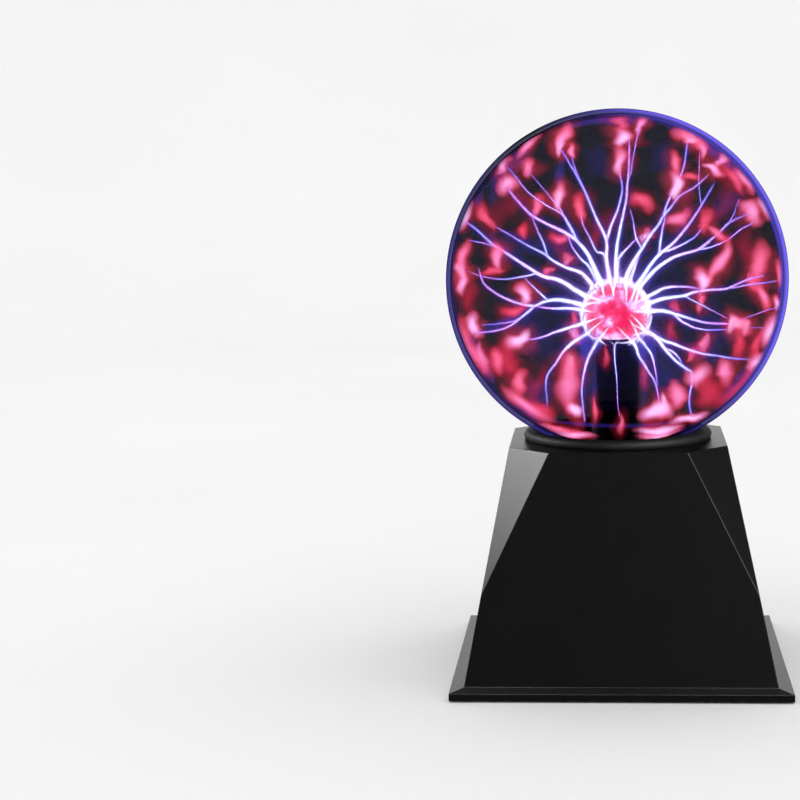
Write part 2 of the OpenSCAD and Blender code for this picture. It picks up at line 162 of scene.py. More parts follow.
def printed_board(name):
    """Green solder mask over straight copper tracks 12 mm apart."""
    made, tree, place = new_material(name)
    tracks = put(tree, "TexBrick", {"Vector": place, "Scale": per_mm(12), "Mortar Size": 0.03,
                                    "Color1": colour("#0d3a1c"), "Color2": colour("#124726"),
                                    "Mortar": colour("#2c7a45")}, offset=0.37, squash=1.6)
    flux = put(tree, "TexNoise", {"Vector": place, "Scale": per_mm(3)})
    skin = put(tree, "BsdfPrincipled", {
        "Base Color": tracks,
        "Roughness": put(tree, "ValToRGB", {"Fac": flux}, ramp=[(0.3, 0.25), (0.7, 0.35)]),
        "Normal": put(tree, "Bump", {"Height": tracks, "Distance": 0.02 * MM})})
    put(tree, "OutputMaterial", {"Surface": skin})
    return made


def glass_with_painted_glow(name, clear, edge, glow, strength, band, toward, spread, gloss):
    """Thin blown glass that darkens what is behind it: clear straight on, a dark edge where it's
    seen at a graze, and a painted glow inside that edge, by the band: the glass itself emits, in
    place of the gas's light caught in it. The spread is how much of that painted glow shows along
    one direction, given in "toward" as its turn, start and length in mm."""
    made, tree, place = new_material(name)
    facing = put(tree, "LayerWeight", {"Blend": 0.5}, output="Facing")
    tint = put(tree, "ValToRGB", {"Fac": facing}, ramp=[(0.0, clear), (0.74, clear), (0.94, edge)])
    through = put(tree, "BsdfTransparent", {"Color": tint})
    # painted glow: the glass emits the gas's colour itself, brightest in a ring by the band and towards one
    # side by the spread
    light = put(tree, "Emission", {"Color": colour(glow), "Strength": strength})
    ring = put(tree, "ValToRGB", {"Fac": facing}, ramp=band)
    turn, start, length = toward
    across = put(tree, "Mapping", {"Vector": place, "Location": start, "Rotation": turn,
                                   "Scale": (per_mm(length),) * 3})
    side = put(tree, "ValToRGB", {"Fac": put(tree, "SeparateXYZ", {"Vector": across})}, ramp=spread)
    painted_glow_share = put(tree, "Math", {0: ring, 1: side}, operation="MULTIPLY")
    lit = put(tree, "MixShader", {0: painted_glow_share, 1: through, 2: light})
    wipes = put(tree, "TexNoise", {"Vector": place, "Scale": per_mm(30)})
    haze = put(tree, "ValToRGB", {"Fac": wipes}, ramp=[(0.3, 0.02), (0.7, 0.05)])
    polish = put(tree, "BsdfGlossy", {"Roughness": haze})
    put(tree, "OutputMaterial", {"Surface": put(tree, "MixShader", {0: gloss, 1: lit, 2: polish})})
    return made


def lit_gas(name, cool, warm, strength):
    """Glowing gas. Its colour runs along the stored "run", between a cool and a warm ramp by the
    stored "warmth", and it thins out where the stored "cover" falls to nothing."""
    made, tree, _ = new_material(name)
    run, warmth, cover = (put(tree, "Attribute", output="Fac", attribute_name=field)
                          for field in ("run", "warmth", "cover"))
    tint = put(tree, "MixRGB", {0: warmth, 1: put(tree, "ValToRGB", {"Fac": run}, ramp=cool),
                                2: put(tree, "ValToRGB", {"Fac": run}, ramp=warm)})
    glow = put(tree, "Emission", {"Color": tint, "Strength": strength})
    veil = put(tree, "MixShader", {0: cover, 1: put(tree, "BsdfTransparent"), 2: glow})
    put(tree, "OutputMaterial", {"Surface": veil})
    made.cycles.emission_sampling = "NONE"
    return made


def painted_glow_coat(name):
    """The bulb's metal lining, given a painted glow in place of the discharge's light on it: it emits
    red-pink, paler in soft patches.
    """
    made, tree, place = new_material(name)
    patches = put(tree, "TexNoise", {"Vector": place, "Scale": per_mm(9), "Detail": 2, "Roughness": 0.5})
    tint = put(tree, "ValToRGB", {"Fac": patches},
               ramp=[(0.36, "#f01c34"), (0.50, "#ff4058"), (0.59, "#ff8ca8"), (0.68, "#ffe0ee")])
    put(tree, "OutputMaterial", {"Surface": put(tree, "Emission", {"Color": tint, "Strength": 13.0})})
    made.cycles.emission_sampling = "NONE"
    return made


# ---------------------------------------------------------------- surfaces

def add_mesh(name, points, quads, material, fields=None):
    """One smooth piece from arrays of points and quads, with named numbers stored at its points."""
    mesh = bpy.data.meshes.new(name)
    mesh.from_pydata(points, [], quads)
    mesh.update()
    for field, values in (fields or {}).items():
        mesh.attributes.new(field, "FLOAT", "POINT").data.foreach_set("value", np.asarray(values, "f"))
    mesh.polygons.foreach_set("use_smooth", np.ones(len(mesh.polygons), bool))
    mesh.materials.append(material)
    piece = bpy.data.objects.new(name, mesh)
    bpy.context.scene.collection.objects.link(piece)
    return piece


def grid_quads(rows, columns, wrap=True):
    """Quads of a rows x columns grid of points, closed around the columns if it wraps."""
    r, c = np.meshgrid(np.arange(rows - 1), np.arange(columns if wrap else columns - 1), indexing="ij")
    after = (c + 1) % columns
    return np.stack([r * columns + c, r * columns + after, (r + 1) * columns + after,
                     (r + 1) * columns + c], -1).reshape(-1, 4)


def turned(profile, sides=160):
    """A profile of (radius, height) turned about the upright axis: (r cos t, r sin t, h). It runs
    down the outside and up the inside, so that its faces look outward."""
    profile = np.asarray(profile, float)
    t = np.linspace(0, -2 * math.pi, sides, endpoint=False)
    points = np.stack([profile[:, :1] * np.cos(t), profile[:, :1] * np.sin(t),
                       np.repeat(profile[:, 1:], sides, 1)], -1).reshape(-1, 3)
    return points, grid_quads(len(profile), sides)


def arc(centre, radius, start, end, count):
    """Points of a circle in the (radius, height) plane, by angle from the outward direction."""
    t = np.radians(np.linspace(start, end, count))
    return np.stack([centre[0] + radius * np.abs(np.cos(t)), centre[1] + radius * np.sin(t)], -1)


# ---------------------------------------------------------------- glass

def globe_glass(material):
    """The globe: outer sphere down to the neck, the rim, and back up inside."""
    c = GLOBE[2]
    low_out = -math.degrees(math.acos(NECK_R / GLOBE_R))
    low_in = -math.degrees(math.acos((NECK_R - GLASS_T) / GAS_R))
    outline = np.concatenate([
        arc((0, c), GLOBE_R, 90, low_out, 120),
        [[NECK_R, RIM_HIGH], [RIM_R, RIM_HIGH], [RIM_R, RIM_LOW], [NECK_R - GLASS_T, RIM_LOW]],
        arc((0, c), GAS_R, low_in, 90, 120)])
    return add_mesh("globe_glass", *turned(outline, 192), material)


def stem_glass(material):
    """The re-entrant stem: bulb outside, tube and flared foot, and back up inside."""
    c = BULB[2]
    flare = NECK_R - GLASS_T
    inner_r = STEM_R - STEM_T
    low_out = -math.degrees(math.acos(STEM_R / BULB_R))
    low_in = -math.degrees(math.acos(inner_r / (BULB_R - STEM_T)))
    foot = RIM_LOW
    outline = np.concatenate([
        arc((0, c), BULB_R, 90, low_out, 60),
        [[STEM_R, foot + 15 * MM], [STEM_R + 1.5 * MM, foot + 12 * MM], [flare, foot], [flare - 2 * MM, foot],
         [inner_r, foot + 12 * MM]],
        arc((0, c), BULB_R - STEM_T, low_in, 90, 60)])
    return add_mesh("stem_glass", *turned(outline, 96), material)


# ---------------------------------------------------------------- discharge

# The discharge is laid out as seen from a little above and left of the front, in millimetres
# across and up from the globe's middle, on the sight lines from this place.
SIGHT = np.array([-0.00265, -1.244, 0.3214])
TURN, TILT, ROLL = 0.1014, 0.129, 0.0233
AHEAD = np.array([-math.sin(TURN) * math.cos(TILT), math.cos(TURN) * math.cos(TILT), -math.sin(TILT)])
LEVEL = np.array([math.cos(TURN), math.sin(TURN), 0])
RIGHT = LEVEL * math.cos(ROLL) - np.cross(LEVEL, AHEAD) * math.sin(ROLL)
UP = np.cross(RIGHT, AHEAD)


def unit(v):
    """Each vector at length 1."""
    return v / np.linalg.norm(v, axis=-1, keepdims=True)


def sight(spots, radius):
    """The sight lines through spots of (across, up): their directions, how far along each one the
    middle of its chord of the ball lies, and half that chord, which is 0 past the ball's edge."""
    spots = np.reshape(spots, (-1, 2)) * MM
    lines = unit(GLOBE + spots[:, :1] * RIGHT + spots[:, 1:] * UP - SIGHT)
    along = lines @ (GLOBE - SIGHT)
    return lines, along, np.sqrt(np.maximum(along ** 2 - np.sum((GLOBE - SIGHT) ** 2) + radius ** 2, 0))


def in_globe(spots, depth, radius=GAS_R - 0.4 * MM):
    """Points on the sight lines through spots: at depth 1 a line enters the ball, at -1 it leaves it,
    and 0 is halfway between. A spot off the ball's edge is pulled back to it."""
    lines, along, half = sight(spots, radius)
    offset = SIGHT + lines * (along - half * depth)[:, None] - GLOBE
    return GLOBE + offset * np.minimum(radius / np.linalg.norm(offset, axis=1), 1)[:, None]


def smooth(points, step=1.2 * MM):
    """A Catmull-Rom curve through points, with a point about every step."""
    p = np.concatenate([[2 * points[0] - points[1]], points, [2 * points[-1] - points[-2]]])
    pieces = []
    for a, b, c, d in zip(p, p[1:], p[2:], p[3:]):
        t = np.linspace(0, 1, max(2, int(np.linalg.norm(c - b) / step)), endpoint=False)[:, None]
        pieces.append(0.5 * (2 * b + (c - a) * t + (2 * a - 5 * b + 4 * c - d) * t ** 2
                             + (3 * b - a - 3 * c + d) * t ** 3))
    return np.concatenate(pieces + [points[-1:]])


def waves(count, size):
    """A smooth random wander that is nothing at both ends: sines of falling size in each direction."""
    s = np.linspace(0, 1, count)[:, None]
    sines = sum(np.sin(s * math.pi * k + rng.uniform(0, TURNS, 3)) * rng.normal(0, 1, 3) / k
                for k in (3, 5, 8, 13))
    return size * sines * np.sin(math.pi * s)


def tube(path, radii):
    """A round tube along a path: p + r (u cos t + v sin t), with u and v square to the path."""
    tangents = unit(np.gradient(path, axis=0))
    hint = np.array([0.31, 0.17, 0.93]) if abs(tangents[0, 2]) < 0.9 else np.array([0.93, 0.17, 0.31])
    side = unit(np.cross(tangents, hint))
    other = np.cross(tangents, side)
    t = np.linspace(0, 2 * math.pi, ROUND, endpoint=False)[None, :, None]
    rings = path[:, None] + radii[:, None, None] * (np.cos(t) * side[:, None] + np.sin(t) * other[:, None])
    return rings.reshape(-1, 3), grid_quads(len(path), ROUND)


class Heap:
    """Gathers many surfaces into one piece, with their run, warmth and cover at each point."""

    def __init__(self):
        self.parts, self.count = [], 0

    def add(self, points, quads, run, warmth, cover):
        self.parts.append((points, quads + self.count, run, warmth, cover))
        self.count += len(points)

    def piece(self, name, material):
        points, quads, run, warmth, cover = (np.concatenate(column) for column in zip(*self.parts))
        return add_mesh(name, points, quads, material, {"run": run, "warmth": warmth, "cover": cover})


cores, glows, flames, hazes = Heap(), Heap(), Heap(), Heap()
# A filament's sleeves from the bright core outwards: heap, width, cover
SLEEVES = [(cores, 0.62, 0.75), (cores, 1.0, 0.42), (glows, 1.7, 0.16), (glows, 3.2, 0.05),
           (hazes, 5.5, 0.022)]


def add_filament(path, thick, run_from=0.0, end=1.0, rooted=True):
    """A filament: a fine bright core in soft sleeves. It is thick and white where it leaves the bulb,
    thins along its run and fades to its end's strength."""
    lengths = np.concatenate([[0], np.cumsum(np.linalg.norm(np.diff(path, axis=0), axis=1))])
    s = lengths / lengths[-1]
    run = run_from + (1 - run_from) * s
    root = np.exp(-lengths / (4 * MM)) if rooted else 0 * s
    tip = np.clip((1 - s) / 0.06, 0, 1) ** 0.5
    radius = thick * (0.48 + 0.50 * (1 - run) ** 1.5 + 0.3 * root) * MM * (0.25 + 0.75 * tip)
    warmth = np.clip(0.45 + 0.4 * np.sin(s * rng.uniform(4, 9) + rng.uniform(0, TURNS)), 0, 1)
    shine = (1 - run) ** 0.6 * (1 - end) + end
    for heap, wide, cover in SLEEVES:
        heap.add(*tube(path, radius * wide), np.repeat(run, ROUND), np.repeat(warmth, ROUND),
                 np.repeat(cover * shine * tip, ROUND))


def add_flame(spots, width, heat, depth, bright=1.0, drop=False, heap=flames, sink=None):
    """Gas glowing where it meets the glass: a soft sheet on it along spots of (across, up), with an
    ellipse's outline, fading from its middle to its edge. Heat 0 is dull red and 1 is nearly white.
    A drop is narrower and hotter at its first end. A sheet near the ball's edge is laid twice, half
    as dense, a little in front of the edge and a little behind, so that it doesn't end at it."""
    along = smooth(np.pad(np.array(spots, float), ((0, 0), (0, 1))), 1.1)[:, :2]
    rows, columns = len(along), 13
    s = np.linspace(-1, 1, rows)
    tangent = unit(np.gradient(along, axis=0))
    normal = np.stack([-tangent[:, 1], tangent[:, 0]], -1)
    outline = np.sqrt(np.maximum(1 - s ** 2, 0.001)) * (0.72 + 0.28 * s if drop else 1)
    wobble = (1 + 0.14 * np.sin(s * rng.uniform(3, 6) + rng.uniform(0, TURNS))
              + 0.08 * np.sin(s * rng.uniform(7, 13)))
    sway = 0.09 * width * np.sin(s * rng.uniform(2, 5) + rng.uniform(0, TURNS))
    t = np.linspace(-1, 1, columns)
    sideways = sway[:, None] + t[None] * (width / 2 * outline * wobble)[:, None]
    flat = along[:, None] + normal[:, None] * sideways[..., None]
    fade = (1 - t ** 2)[None] * (1 - s ** 2)[:, None] ** 0.8
    radius = GAS_R - (sink or rng.uniform(0.3, 1.4)) * MM
    glow = heat * (0.46 + 0.60 * fade ** 0.9) * (1 - 0.16 * s[:, None] if drop else 1)
    cover = np.clip(bright * fade ** 1.5 * (0.80 + 0.20 * heat), 0, 1)
    depths = (depth,)
    if sight(flat, radius)[2].min() < 0.35 * radius:
        depths, cover = (0.5, -0.5), 1 - np.sqrt(1 - cover)
    for side in depths:
        heap.add(in_globe(flat, side, radius), grid_quads(rows, columns, wrap=False),
                 np.clip(glow, 0, 1).ravel(), np.full(rows * columns, 0.5), cover.ravel())


def add_drop(spot, long, wide, lean, heat, depth, bright=1.0):
    """A flame by its middle, half length, width and lean from upright in degrees. Its narrow end
    points at the bulb."""
    t = math.radians(lean)
    arm = np.array([math.sin(t), math.cos(t)]) * long
    if arm @ (np.array(spot) - (0, -20)) < 0:
        arm = -arm
    add_flame([spot - arm * 1.15, spot, spot + arm * 1.15], wide * 1.3, heat, depth, bright, drop=True)
    add_flame([spot - arm * 1.6, spot, spot + arm * 1.6], wide * 2.2, heat * 0.5, depth, 0.32 * bright)


# Filaments: thickness, the side of the globe they end on (1 front, -1 back, or a depth between where
# one joins another), strength at the end, spots from the bulb outwards, and forks that start on them
FILAMENTS = [
    (1.00, 1, 0.5, [(-2.5, 12), (-3.5, 23), (-10, 35.5), (-19, 54), (-27.5, 69), (-33, 78)],
     [(0.95, 1, 0.6, [(-3.5, 23), (-1, 33), (2, 42), (4, 53), (2.5, 62.5), (2, 69)]),
      (0.70, 1, 0.4, [(-19, 54), (-22.5, 62), (-25.5, 70.5), (-26.5, 76)])]),
    (1.10, 1, 0.5, [(3, 14), (3.5, 25.5), (5, 36), (6.5, 47), (7.2, 59), (7.8, 71), (7.8, 83)],
     [(0.60, 1, 0.4, [(7.2, 57), (9, 64), (10, 71), (11.8, 81), (14.5, 91)])]),
    (1.30, 1, 0.5, [(-9.5, 7), (-14, 15), (-20.5, 22.5), (-28, 27.4), (-35.6, 31), (-44, 35), (-50, 38.5),
                      (-55.5, 44), (-61.5, 51), (-64, 55)],
     [(1.00, 1, 0.5, [(-20.5, 22.5), (-25.7, 31), (-30, 37.5), (-33, 43.5), (-34, 49)]),
      (0.65, 1, 0.3, [(-20.5, 22.5), (-25, 30), (-31, 38.5), (-41, 44), (-51, 51), (-57.5, 59), (-64, 67)]),
      (0.65, -1, 0.3, [(-20.5, 22.5), (-27, 32), (-33, 42), (-40, 50.5), (-48.5, 60.5), (-52, 65)])]),
    (0.75, -1, 0.3, [(-13, 8), (-17, 11.6), (-22.7, 18), (-25.7, 22.7), (-28.6, 30)], []),
    (1.05, -1, 0.3, [(-17, 4), (-27.4, 7.5), (-35.6, 11.6), (-40.3, 15), (-48, 18.6), (-56.7, 23.3),
                       (-63.7, 27.4), (-72, 32)],
     [(0.90, -1, 0.4, [(-39, 14), (-42, 22), (-45.6, 29), (-48.5, 36), (-48.5, 41)])]),
    (1.30, 1, 0.25, [(-21.6, -5.3), (-27.4, -1.8), (-33.3, 0.6), (-41, 2.3), (-48.5, 6.3), (-56.7, 11),
                       (-66, 16.8), (-73, 21.5), (-82, 29.7), (-88, 34)],
     [(0.60, -1, 0.3, [(-68.4, 18.6), (-77, 21.5), (-87, 23.5)]),
      (0.65, -1, 0.3, [(-45, 4), (-54, 2), (-66, 0.5), (-78, 2), (-89, 6)])]),
    (1.20, 1, 0.2, [(-24.5, -12.6), (-33.3, -11.6), (-40.3, -12.9), (-46, -15.1), (-51, -14.7), (-59, -12.9),
                      (-66.6, -9.9), (-72.5, -6.4), (-78, -1.2), (-81, 8)],
     [(1.05, 1, 0.25, [(-46, -15.1), (-51, -19.3), (-56.7, -23.4), (-63.7, -28), (-74, -30.4), (-83, -31)]),
      (0.75, -1, 0.25, [(-46, -15.1), (-52, -20), (-59, -24), (-68.5, -25.7), (-80, -26.5)]),
      (0.75, -1, 0.3, [(-37.5, -11.8), (-43, -7.6), (-49.7, -1.7), (-54, 3)])]),
    (0.90, 0.42, 0.9, [(-27.4, -16.4), (-36, -16.8), (-41.5, -16), (-46, -15.1)], []),
    (0.90, 1, 0.5, [(-24.5, -28), (-32, -30.4), (-39, -32.8), (-46, -34.5), (-55, -35.2)], []),
    (0.95, 1, 0.12, [(-24.5, -38.6), (-33.3, -48.6), (-39, -55.6), (-40.3, -62), (-40, -68),
                     (-39.7, -76)], []),
    (0.90, 1, 0.5, [(-8, -37), (-11.5, -43), (-14.5, -49), (-17, -57.4), (-18.4, -66.7), (-18.2, -77),
                      (-17.6, -84)], []),
    (1.15, 1, 0.15, [(10.5, 4.5), (14, 12.2), (17.6, 18.6), (22.2, 26.8), (26.3, 32.6), (28.7, 37.3),
                       (32.8, 42.6), (36.3, 47.9), (39.8, 50.8), (45.7, 54.3), (50, 57.8), (55, 62.5)],
     [(1.00, 1, 0.45, [(28.7, 37.3), (30.3, 43.8), (33, 50.8), (36, 57), (39.8, 66), (41, 73.6), (42, 81)]),
      (0.60, -1, 0.5, [(17.6, 18.6), (14, 24.4), (11.7, 33.2), (9, 42)])]),
    (0.95, 0.32, 0.9, [(13.5, 5), (15.5, 12), (17.6, 18.6)], []),
    (1.20, 1, 0.2, [(19.9, 3), (23.4, 9.2), (27.5, 15.1), (32.8, 19.8), (38, 25), (42, 30.3), (46.2, 36.7),
                      (50.3, 43.8), (54.4, 50.8), (58.5, 58)],
     [(0.90, -1, 0.5, [(27.5, 15.1), (28, 24), (28.9, 32), (30, 40)]),
      (1.00, -1, 0.4, [(29, 16.5), (36.3, 18.8), (43.3, 22.7), (47.4, 25.6), (51, 30.5)]),
      (0.50, -1, 0.5, [(50.3, 43.8), (48.8, 56.6), (49, 66), (49.2, 76)])]),
    (1.20, 1, 0.12, [(22.8, 2.5), (27.5, 7.5), (35, 12.7), (42, 15.7), (49, 18), (55, 22.7), (61, 28),
                       (65.6, 32.6), (70.2, 35.6), (79, 39.5)],
     [(0.80, 1, 0.6, [(49, 18), (56, 19.2), (63, 22.1), (68.5, 25.6), (73.2, 29.7), (81, 33.6)]),
      (0.60, -1, 0.2, [(65.6, 32.6), (69, 38), (72.5, 48)])]),
    (0.90, -1, 0.4, [(4.5, 12), (9.4, 18.6), (13, 23.3), (17, 26)], []),
    (0.70, -1, 0.4, [(-4, 14.5), (-9, 17), (-13, 24), (-18, 32), (-20, 39)], []),
    (0.90, 1, 0.8, [(29, -6), (33, -4.4), (39.2, -3.9), (45.7, -4.2), (51.6, -5.5)], []),
    (1.15, 1, 0.12, [(28.5, -11.7), (33.5, -10.4), (42.4, -9.4), (49, -6.9), (55.5, -5.8), (65.3, -4.8),
                       (71.8, -2.2), (79, 0.6), (89, 3)],
     [(0.60, 1, 0.5, [(60, -5.3), (68, -4.8), (78, -2.9), (95, -0.5)]),
      (0.40, -1, 0.6, [(42, -9.4), (52, -14.6), (59, -18.5), (66.6, -22.8)])]),
    (1.10, 1, 0.7, [(29.5, -18), (33.5, -18.6), (39.2, -20.5), (47, -23.1), (55.5, -25.1), (65.3, -25.7),
                    (71, -26)],
     [(0.90, 1, 0.4, [(36.6, -19.6), (41.8, -24.4), (48.3, -28), (55.5, -29.3), (66, -29)]),
      (0.45, 1, 0.9, [(69, -26), (76, -22.5), (85, -19.2), (95, -15.8)]),
      (0.60, -1, 0.2, [(69, -26), (79, -27.7), (89, -28.3)])]),
    (1.10, 1, 0.4, [(27.4, -34.2), (32.6, -42), (37.9, -47.9), (41.8, -51.2), (45.7, -54.4), (45.9, -60),
                      (44.4, -66.2), (43.7, -72.7), (45, -80)],
     [(0.80, -1, 0.2, [(31, -40), (36.5, -42.5), (40, -48), (44, -56)])]),
    (1.00, 1, 0.12, [(30, -35), (36.6, -37.5), (44.4, -40.7), (52.2, -43.3), (60, -44.6), (68.5, -46),
                     (80, -46.7)], []),
    (0.80, 1, 0.6, [(15.5, -40), (17, -45), (20.9, -51.8), (24.8, -59.7), (26.1, -66.2), (27, -75)], []),
    (0.80, 1, 0.6, [(19.6, -37), (24.2, -44.7), (25.8, -53.1), (26.2, -63)], []),
    (0.35, 1, 0.6, [(2.6, -42), (2.8, -50), (3.2, -58), (2.6, -69.5), (2.9, -81)], []),
]
# Flames: spot, half length, width, lean, heat, side of the globe, strength
FLAMES = [
    ((-31, 84), 11, 10, 20, 0.80, 1, 1.0), ((-33, 79), 7, 7, 0, 1.00, 1, 1.0),
    ((-26, 76), 5, 6, -10, 0.80, 1, 1.0), ((-66.5, 68), 7, 10, 30, 0.85, -1, 0.9),
    ((-52, 66), 6, 11, -20, 0.80, -1, 1.0), ((-46.5, 43.5), 8, 9, 30, 0.70, -1, 1.0),
    ((-33.5, 49), 9.5, 9, 0, 0.95, 1, 1.0), ((-21, 42.5), 9.5, 10, 0, 0.62, -1, 1.0),
    ((-54, 29), 5.5, 8, 0, 0.50, -1, 0.9), ((-33, 24.5), 7, 8.5, 90, 0.60, -1, 1.0),
    ((-76.5, 37), 9.5, 9.5, -30, 0.62, -1, 1.0), ((-70, 14), 9, 10, -15, 0.80, 1, 1.0),
    ((-91, 6), 7, 9, 0, 0.95, -1, 1.0), ((-72.5, 5), 8, 6, 80, 0.60, -1, 0.9),
    ((-29, 12), 5, 8, 0, 0.75, -1, 0.9), ((-40, 5), 5, 6, 60, 0.70, -1, 0.9),
    ((3, 92.5), 4.5, 13, 0, 0.65, 1, 0.9), ((3.5, 84), 6, 14, 0, 0.95, 1, 1.0),
    ((14.5, 91), 7, 7, 15, 0.85, 1, 1.0), ((2, 70), 9.5, 10, 0, 0.92, 1, 1.0),
    ((44, 83), 6, 8, -60, 0.95, 1, 1.0), ((50.5, 77.5), 7, 8, -10, 0.80, 1, 1.0),
    ((35, 69), 8, 8, -20, 0.72, -1, 0.9), ((44, 60.7), 7, 6, 90, 0.60, -1, 0.9),
    ((35.5, 55.5), 9.5, 11, 0, 1.00, 1, 1.0), ((62, 71), 7, 8, 40, 0.85, -1, 1.0),
    ((57.5, 65), 8, 7, -60, 0.88, 1, 1.0), ((69, 59.5), 11, 8, -35, 0.60, -1, 0.9),
    ((36.5, 36.5), 9, 10.5, 60, 0.80, -1, 1.0), ((52.4, 35), 8, 11, 0, 0.62, -1, 1.0),
    ((17.5, 26), 5.5, 8, 30, 0.90, -1, 0.9), ((60, 27), 8.5, 6.5, -60, 0.75, 1, 1.0),
    ((-54, -8), 7.5, 12, 0, 0.92, 1, 1.0), ((-60, -18), 9, 8.5, 80, 0.52, -1, 1.0),
    ((-90.5, -1.5), 8, 9, 0, 0.88, -1, 1.0), ((-79, -46), 10, 8.5, -10, 0.85, 1, 1.0),
    ((-57.5, -35), 9, 12, 50, 0.98, 1, 1.0), ((-24.5, -24), 7, 6.5, 0, 0.55, -1, 0.9),
    ((-24, -32), 6, 9, 0, 0.85, -1, 0.9), ((-24.5, -76), 5, 12, 75, 1.00, 1, 1.0),
    ((-12.5, -76), 8, 4, 0, 0.65, 1, 1.0), ((-27, -50), 7, 10, -15, 1.00, 1, 1.0),
    ((50.5, 0), 8, 12, 0, 0.95, 1, 1.0), ((49.5, -12.5), 7.5, 7, 0, 0.70, -1, 0.9),
    ((35, -16), 5, 9, 0, 0.55, -1, 0.7), ((70, -26), 7, 12, 60, 1.00, 1, 1.0),
    ((75, -27), 6, 11, -40, 0.95, 1, 1.0), ((72, -37), 11, 8.5, 0, 0.50, -1, 0.9),
    ((81, -1.5), 7, 9, -30, 0.80, -1, 1.0), ((86.5, -10), 9.5, 8, -15, 0.75, -1, 1.0),
    ((94.5, -13.5), 5, 6, 0, 0.90, -1, 1.0), ((83, -38), 9, 8, 10, 0.52, -1, 0.9),
    ((52, -37.5), 7.5, 8, 10, 0.80, -1, 1.0), ((45, -43.5), 6, 7, 40, 0.60, -1, 0.9),
    ((27.5, -74), 8, 8, 0, 0.98, 1, 1.0), ((3, -84.5), 7, 5.5, 0, 0.70, 1, 1.0),
    ((96, 4), 9, 6, 0, 0.75, -1, 0.9), ((16, -55), 10, 8, -10, 0.45, -1, 0.6),
    ((-3, 35), 7, 26, 0, 0.10, -1, 0.35), ((-86, -10), 12, 12, 0, 0.30, -1, 0.5),
    ((62, -62), 12, 14, 20, 0.30, -1, 0.5), ((-46, -62), 14, 12, 20, 0.25, -1, 0.45),
    ((76, 18), 14, 12, 0, 0.20, -1, 0.4), ((-62, 45), 12, 14, 60, 0.20, -1, 0.35),
    ((33, -30), 8, 9, 0, 0.40, -1, 0.5), ((-6, -45), 7, 5, 0, 0.55, 1, 0.6),
    ((-12, 26), 8, 10, 0, 0.30, -1, 0.4), ((64, 46), 12, 14, 30, 0.15, -1, 0.35),
]
# Streaks along the glass: spots, width, heat, side of the globe, strength
STREAKS = [
    ([(-60, 70), (-51, 80), (-42, 87)], 5, 0.80, -1, 1.0),
    ([(-72, 52.5), (-63, 56), (-57, 61)], 11, 0.88, 1, 1.0),
    ([(-94, 26), (-89, 38), (-83, 48)], 6.5, 0.98, 1, 1.0),
    ([(-94, 0), (-90, 14), (-86, 26)], 6.5, 0.75, -1, 1.0),
    ([(30, 88), (40, 86), (48, 81), (54, 76)], 8.5, 0.75, 1, 1.0),
    ([(69, 68), (76, 59), (82, 49)], 7, 0.80, 1, 1.0),
    ([(83, 50), (88, 42.5), (91.5, 34)], 7.5, 0.97, 1, 1.0),
    ([(72, 48), (80, 39.5), (86, 31)], 10.5, 0.85, 1, 1.0),
    ([(8, 42), (11.5, 49), (17, 46), (19.5, 37)], 8.5, 0.62, -1, 1.0),
    ([(64, 28), (66, 17), (62, 10), (56, 4), (50, -5)], 7, 0.80, 1, 1.0),
    ([(84, 26), (84.5, 12), (83.5, 0), (83, -8)], 11, 0.70, 1, 1.0),
    ([(-85, -17), (-83.5, -27), (-78, -35)], 8.5, 0.95, 1, 1.0),
    ([(-92, -18), (-89, -34), (-82, -47), (-73, -58)], 10, 0.68, -1, 1.0),
    ([(-71, -38), (-70.5, -47), (-66, -57)], 8, 0.68, 1, 1.0),
    ([(-62, -34), (-64, -47), (-59, -61)], 15, 0.36, -1, 0.9),
    ([(-52, -51), (-57, -60), (-58, -70)], 9, 0.70, 1, 1.0),
    ([(-22.5, -40), (-28, -51), (-29, -61), (-27, -70), (-23.5, -80)], 13, 0.80, 1, 1.0),
    ([(-69, -60), (-59, -70), (-48, -77.5), (-33, -83.5)], 7, 0.78, 1, 1.0),
    ([(-56, -72), (-44, -77), (-33, -79)], 8, 0.45, -1, 0.9),
    ([(93, -17), (91, -30), (87, -42)], 10, 0.90, 1, 1.0),
    ([(88, -41), (83, -48), (79, -56)], 10, 0.90, 1, 1.0),
    ([(60, -45), (65, -55), (62.5, -64)], 10, 0.80, 1, 1.0),
    ([(39, -61), (47, -56), (58, -52.5)], 10.5, 0.90, 1, 1.0),
    ([(56, -53), (54, -65), (48, -77)], 14, 0.38, -1, 0.9),
    ([(35, -57), (35.5, -68), (34, -78)], 10.5, 0.78, 1, 1.0),
    ([(11, -79.5), (20, -78.5), (28, -77), (34, -82)], 10, 0.98, 1, 1.0),
    ([(29, -84), (42, -81.5), (57, -78)], 5, 0.98, 1, 1.0),
    ([(86, -45), (78, -59), (68, -68), (55, -76)], 9, 0.46, -1, 1.0),
    ([(-50, -84), (-36, -88), (-18, -90)], 5, 0.72, 1, 1.0),
    ([(-42, -88.5), (-26, -90.8), (-9, -91.8)], 4, 0.90, 1, 1.0),
    ([(8, -88.5), (22, -89), (42, -86)], 5.5, 1.00, 1, 1.0),
    ([(10, -91.8), (28, -91.5), (43, -88.5)], 4, 0.92, 1, 1.0),
]
